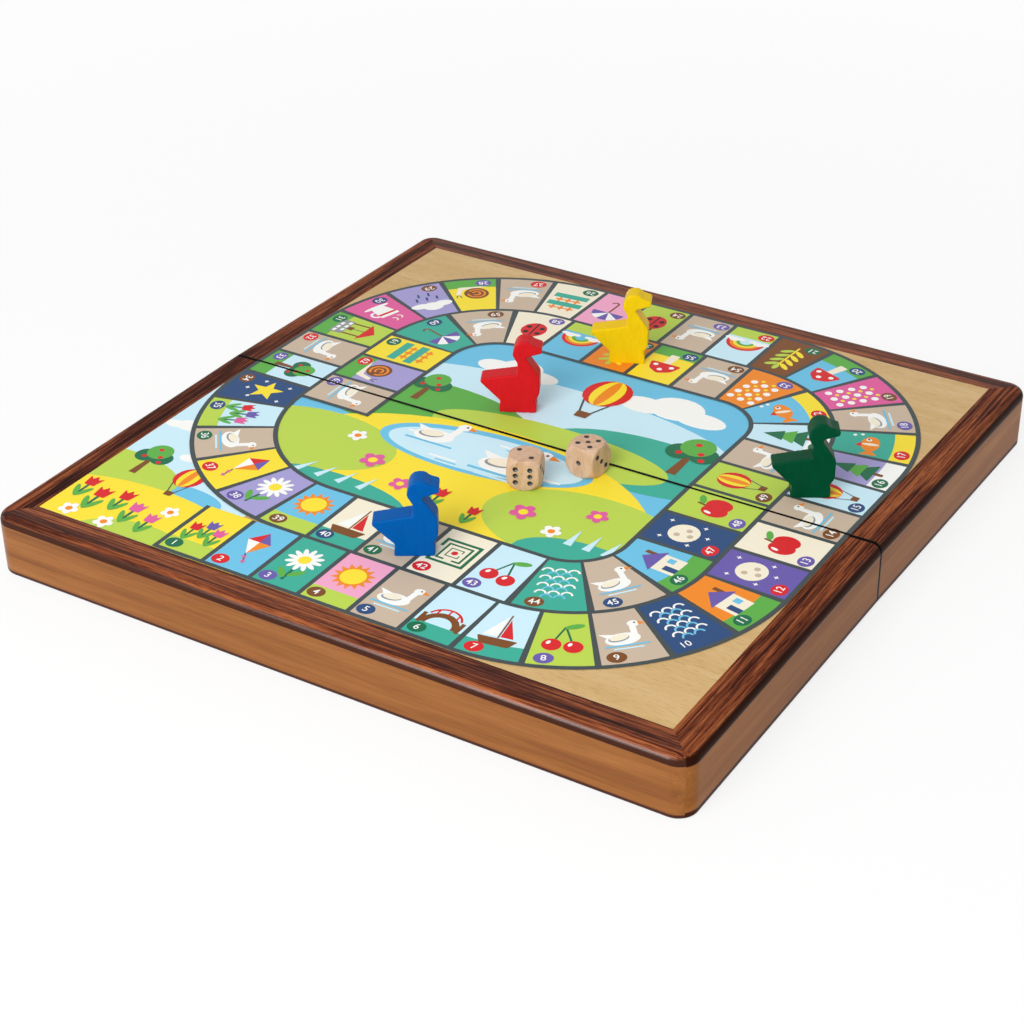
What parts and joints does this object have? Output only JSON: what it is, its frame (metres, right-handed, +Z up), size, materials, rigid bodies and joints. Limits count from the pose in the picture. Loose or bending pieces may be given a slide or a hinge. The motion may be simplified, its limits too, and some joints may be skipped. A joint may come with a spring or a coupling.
{
  "type": "folding game of the goose board",
  "caption": "Folding wooden games case, lying open to show a numbered spiral race track on its outer faces, with goose-shaped pawns and round-cornered wooden dice.",
  "frame": {"origin": "on the table, under the middle of the fold", "axes": "+X along the fold to the right, +Y across the fold to the rear half, +Z up from the table"},
  "size_m": [0.37, 0.3706, 0.073],
  "materials": {
    "stained_wall": "stained and lacquered, semi-gloss",
    "rosewood_border": "dark stained strip, lacquered, glossy",
    "panel_board": "bare hardboard",
    "printed_sheet": "printed and laminated, satin",
    "hinge_brass": "rolled brass, bright",
    "magnet_steel": "nickel plated",
    "red_paint": "painted, satin",
    "yellow_paint": "painted, satin",
    "green_paint": "painted, satin",
    "blue_paint": "painted, satin",
    "dice_beech": "turned beech, waxed"
  },
  "bodies": {
    "front_half": {"front_panel": "panel_board", "front_game_sheet": "printed_sheet", "front_long_wall": "stained_wall", "front_left_wall": "stained_wall", "front_right_wall": "stained_wall", "front_fold_wall": "stained_wall", "front_border": "rosewood_border", "front_left_border": "rosewood_border", "front_right_border": "rosewood_border", "left_hinge_front_leaf": "hinge_brass", "left_hinge_pin": "hinge_brass", "right_hinge_front_leaf": "hinge_brass", "right_hinge_pin": "hinge_brass", "front_hinge_screws": "hinge_brass", "front_magnets": "magnet_steel"},
    "rear_half": {"rear_panel": "panel_board", "rear_game_sheet": "printed_sheet", "rear_long_wall": "stained_wall", "rear_left_wall": "stained_wall", "rear_right_wall": "stained_wall", "rear_fold_wall": "stained_wall", "rear_border": "rosewood_border", "rear_left_border": "rosewood_border", "rear_right_border": "rosewood_border", "left_hinge_rear_leaf": "hinge_brass", "right_hinge_rear_leaf": "hinge_brass", "rear_hinge_screws": "hinge_brass", "rear_magnets": "magnet_steel"},
    "red_pawn": {"red_pawn": "red_paint"},
    "yellow_pawn": {"yellow_pawn": "yellow_paint"},
    "green_pawn": {"green_pawn": "green_paint"},
    "blue_pawn": {"blue_pawn": "blue_paint"},
    "left_die": {"left_die": "dice_beech"},
    "right_die": {"right_die": "dice_beech"}
  },
  "joints": [
    {"name": "board_fold", "type": "hinge", "parent": "front_half", "child": "rear_half", "pos_m": [0, 0, 0.002], "axis": [-1, 0, 0], "range_deg": [-1.3, 178.6]},
    {"name": "red_pawn_lift", "type": "slide", "parent": "rear_half", "child": "red_pawn", "axis": [0, 0, 1], "range_m": [0, 0.08]},
    {"name": "yellow_pawn_lift", "type": "slide", "parent": "rear_half", "child": "yellow_pawn", "axis": [0, 0, 1], "range_m": [0, 0.08]},
    {"name": "green_pawn_lift", "type": "slide", "parent": "rear_half", "child": "green_pawn", "axis": [0, 0, 1], "range_m": [0, 0.08]},
    {"name": "blue_pawn_lift", "type": "slide", "parent": "front_half", "child": "blue_pawn", "axis": [0, 0, 1], "range_m": [0, 0.08]},
    {"name": "left_die_lift", "type": "slide", "parent": "front_half", "child": "left_die", "axis": [0, 0, 1], "range_m": [0, 0.05]},
    {"name": "right_die_lift", "type": "slide", "parent": "front_half", "child": "right_die", "axis": [0, 0, 1], "range_m": [0, 0.05]}
  ]
}
